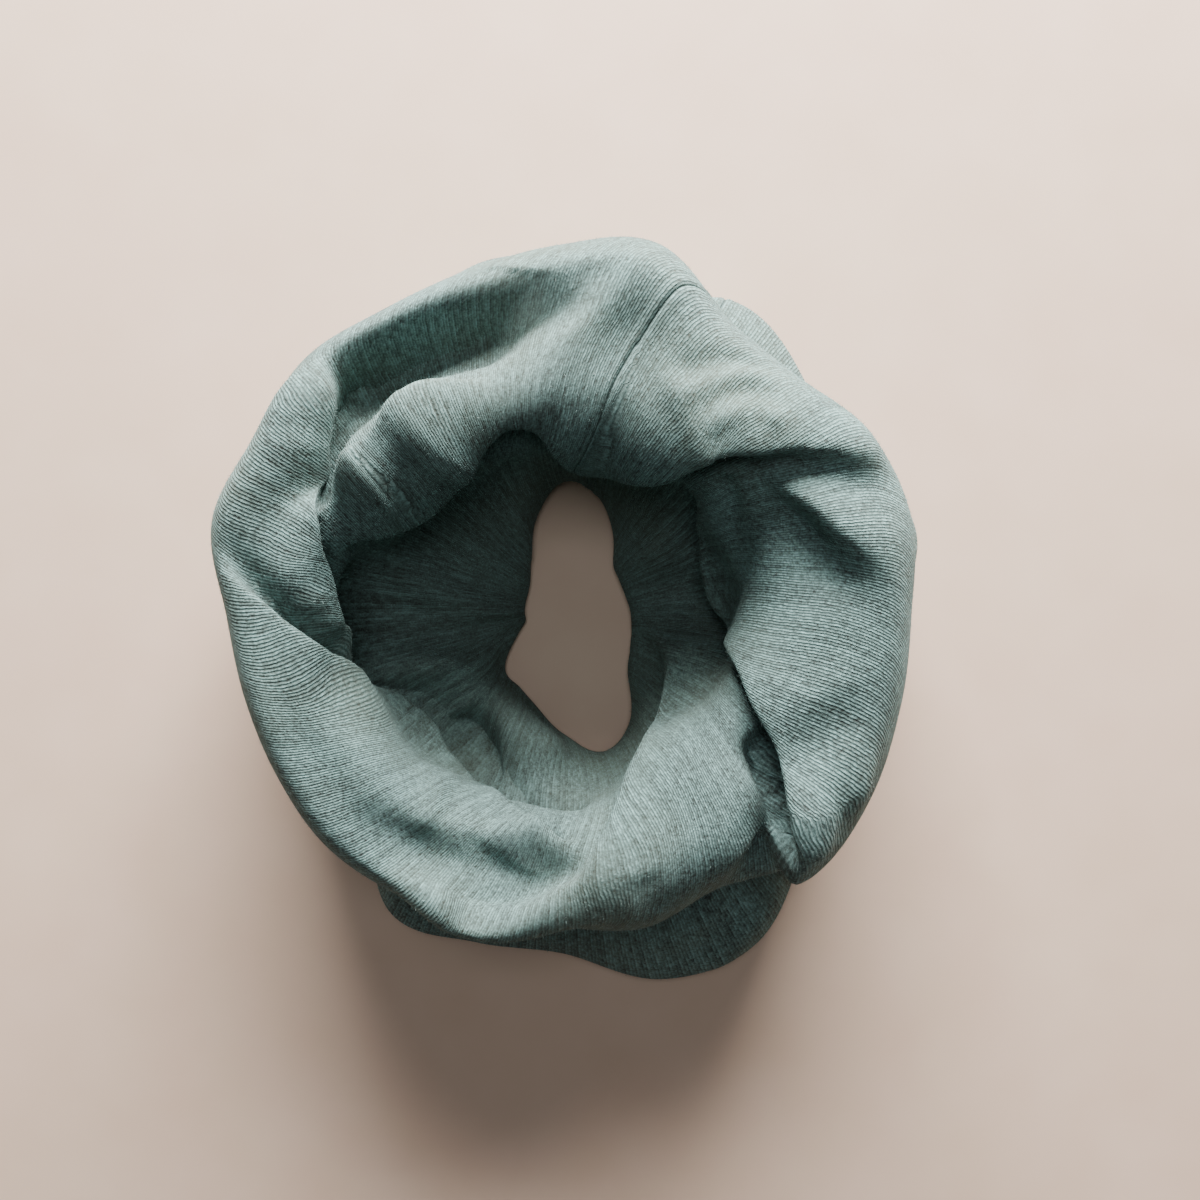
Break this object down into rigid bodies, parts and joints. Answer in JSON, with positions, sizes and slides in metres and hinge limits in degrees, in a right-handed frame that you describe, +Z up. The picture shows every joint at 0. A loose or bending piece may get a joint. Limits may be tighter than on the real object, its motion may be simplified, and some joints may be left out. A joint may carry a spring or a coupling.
{
  "type": "neck warmer",
  "caption": "Jersey neck warmer, a closed cloth tube slumped on a table as a soft folded ring with an open neck.",
  "frame": {"origin": "on the table under the middle of the whole ring", "axes": "+Z up out of the neck opening, -Y towards the low front roll, the cross seam lies towards +X and +Y"},
  "size_m": [0.2284, 0.2574, 0.1027],
  "materials": {
    "jersey": "matt grey-green slub jersey with fine raised lines across the band",
    "jersey_inside": "matt grey-green jersey, out of sight"
  },
  "bodies": {
    "root": {"back_stretch": "jersey", "left_stretch": "jersey", "front_stretch": "jersey", "right_stretch": "jersey", "hidden_layers": "jersey_inside"}
  },
  "joints": []
}
